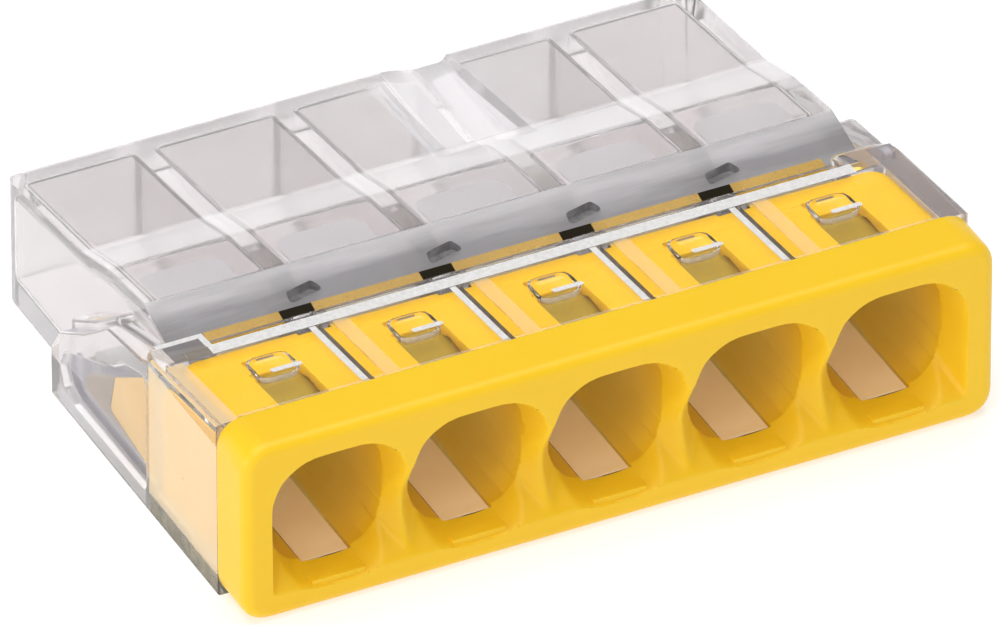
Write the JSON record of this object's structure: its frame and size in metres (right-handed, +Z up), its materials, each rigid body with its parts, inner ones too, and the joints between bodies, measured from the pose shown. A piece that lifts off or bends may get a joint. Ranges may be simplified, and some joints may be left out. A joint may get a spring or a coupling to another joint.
{
  "type": "push-in wire connector",
  "caption": "Compact push-in splicing connector for solid wires: clear housing latched over a yellow wire-entry insert, with a busbar and sprung clamps inside.",
  "frame": {"origin": "centre of the base, at the bottom of the bounding box", "axes": "+X along the row of wire entries, +Y from the wire-entry face to the rear (the way a wire is pushed in), +Z up from the base"},
  "size_m": [0.0218, 0.0164, 0.0055],
  "materials": {
    "clear_housing": "clear injection-moulded plastic, polished, faint grey-lavender tint",
    "yellow_insert": "opaque warm yellow injection-moulded plastic, semi-gloss",
    "tinned_busbar": "tin-plated copper strip, satin",
    "spring_steel": "bright stainless spring strip"
  },
  "bodies": {
    "connector": {"transparent_housing": "clear_housing", "wire_entry_insert": "yellow_insert", "busbar": "tinned_busbar", "spring_heel_1": "spring_steel", "spring_heel_2": "spring_steel", "spring_heel_3": "spring_steel", "spring_heel_4": "spring_steel", "spring_heel_5": "spring_steel"},
    "leg_1": {"spring_leg_1": "spring_steel"},
    "leg_2": {"spring_leg_2": "spring_steel"},
    "leg_3": {"spring_leg_3": "spring_steel"},
    "leg_4": {"spring_leg_4": "spring_steel"},
    "leg_5": {"spring_leg_5": "spring_steel"}
  },
  "joints": [
    {"name": "clamp_1", "type": "hinge", "parent": "connector", "child": "leg_1", "pos_m": [-0.00813, -0.00135, 0.0035], "axis": [1, 0, 0], "range_deg": [0, 25], "stiffness_Nm_per_rad": 0.03},
    {"name": "clamp_2", "type": "hinge", "parent": "connector", "child": "leg_2", "pos_m": [-0.00407, -0.00135, 0.0035], "axis": [1, 0, 0], "range_deg": [0, 25], "stiffness_Nm_per_rad": 0.03},
    {"name": "clamp_3", "type": "hinge", "parent": "connector", "child": "leg_3", "pos_m": [0, -0.00135, 0.0035], "axis": [1, 0, 0], "range_deg": [0, 25], "stiffness_Nm_per_rad": 0.03},
    {"name": "clamp_4", "type": "hinge", "parent": "connector", "child": "leg_4", "pos_m": [0.00407, -0.00135, 0.0035], "axis": [1, 0, 0], "range_deg": [0, 25], "stiffness_Nm_per_rad": 0.03},
    {"name": "clamp_5", "type": "hinge", "parent": "connector", "child": "leg_5", "pos_m": [0.00813, -0.00135, 0.0035], "axis": [1, 0, 0], "range_deg": [0, 25], "stiffness_Nm_per_rad": 0.03}
  ]
}
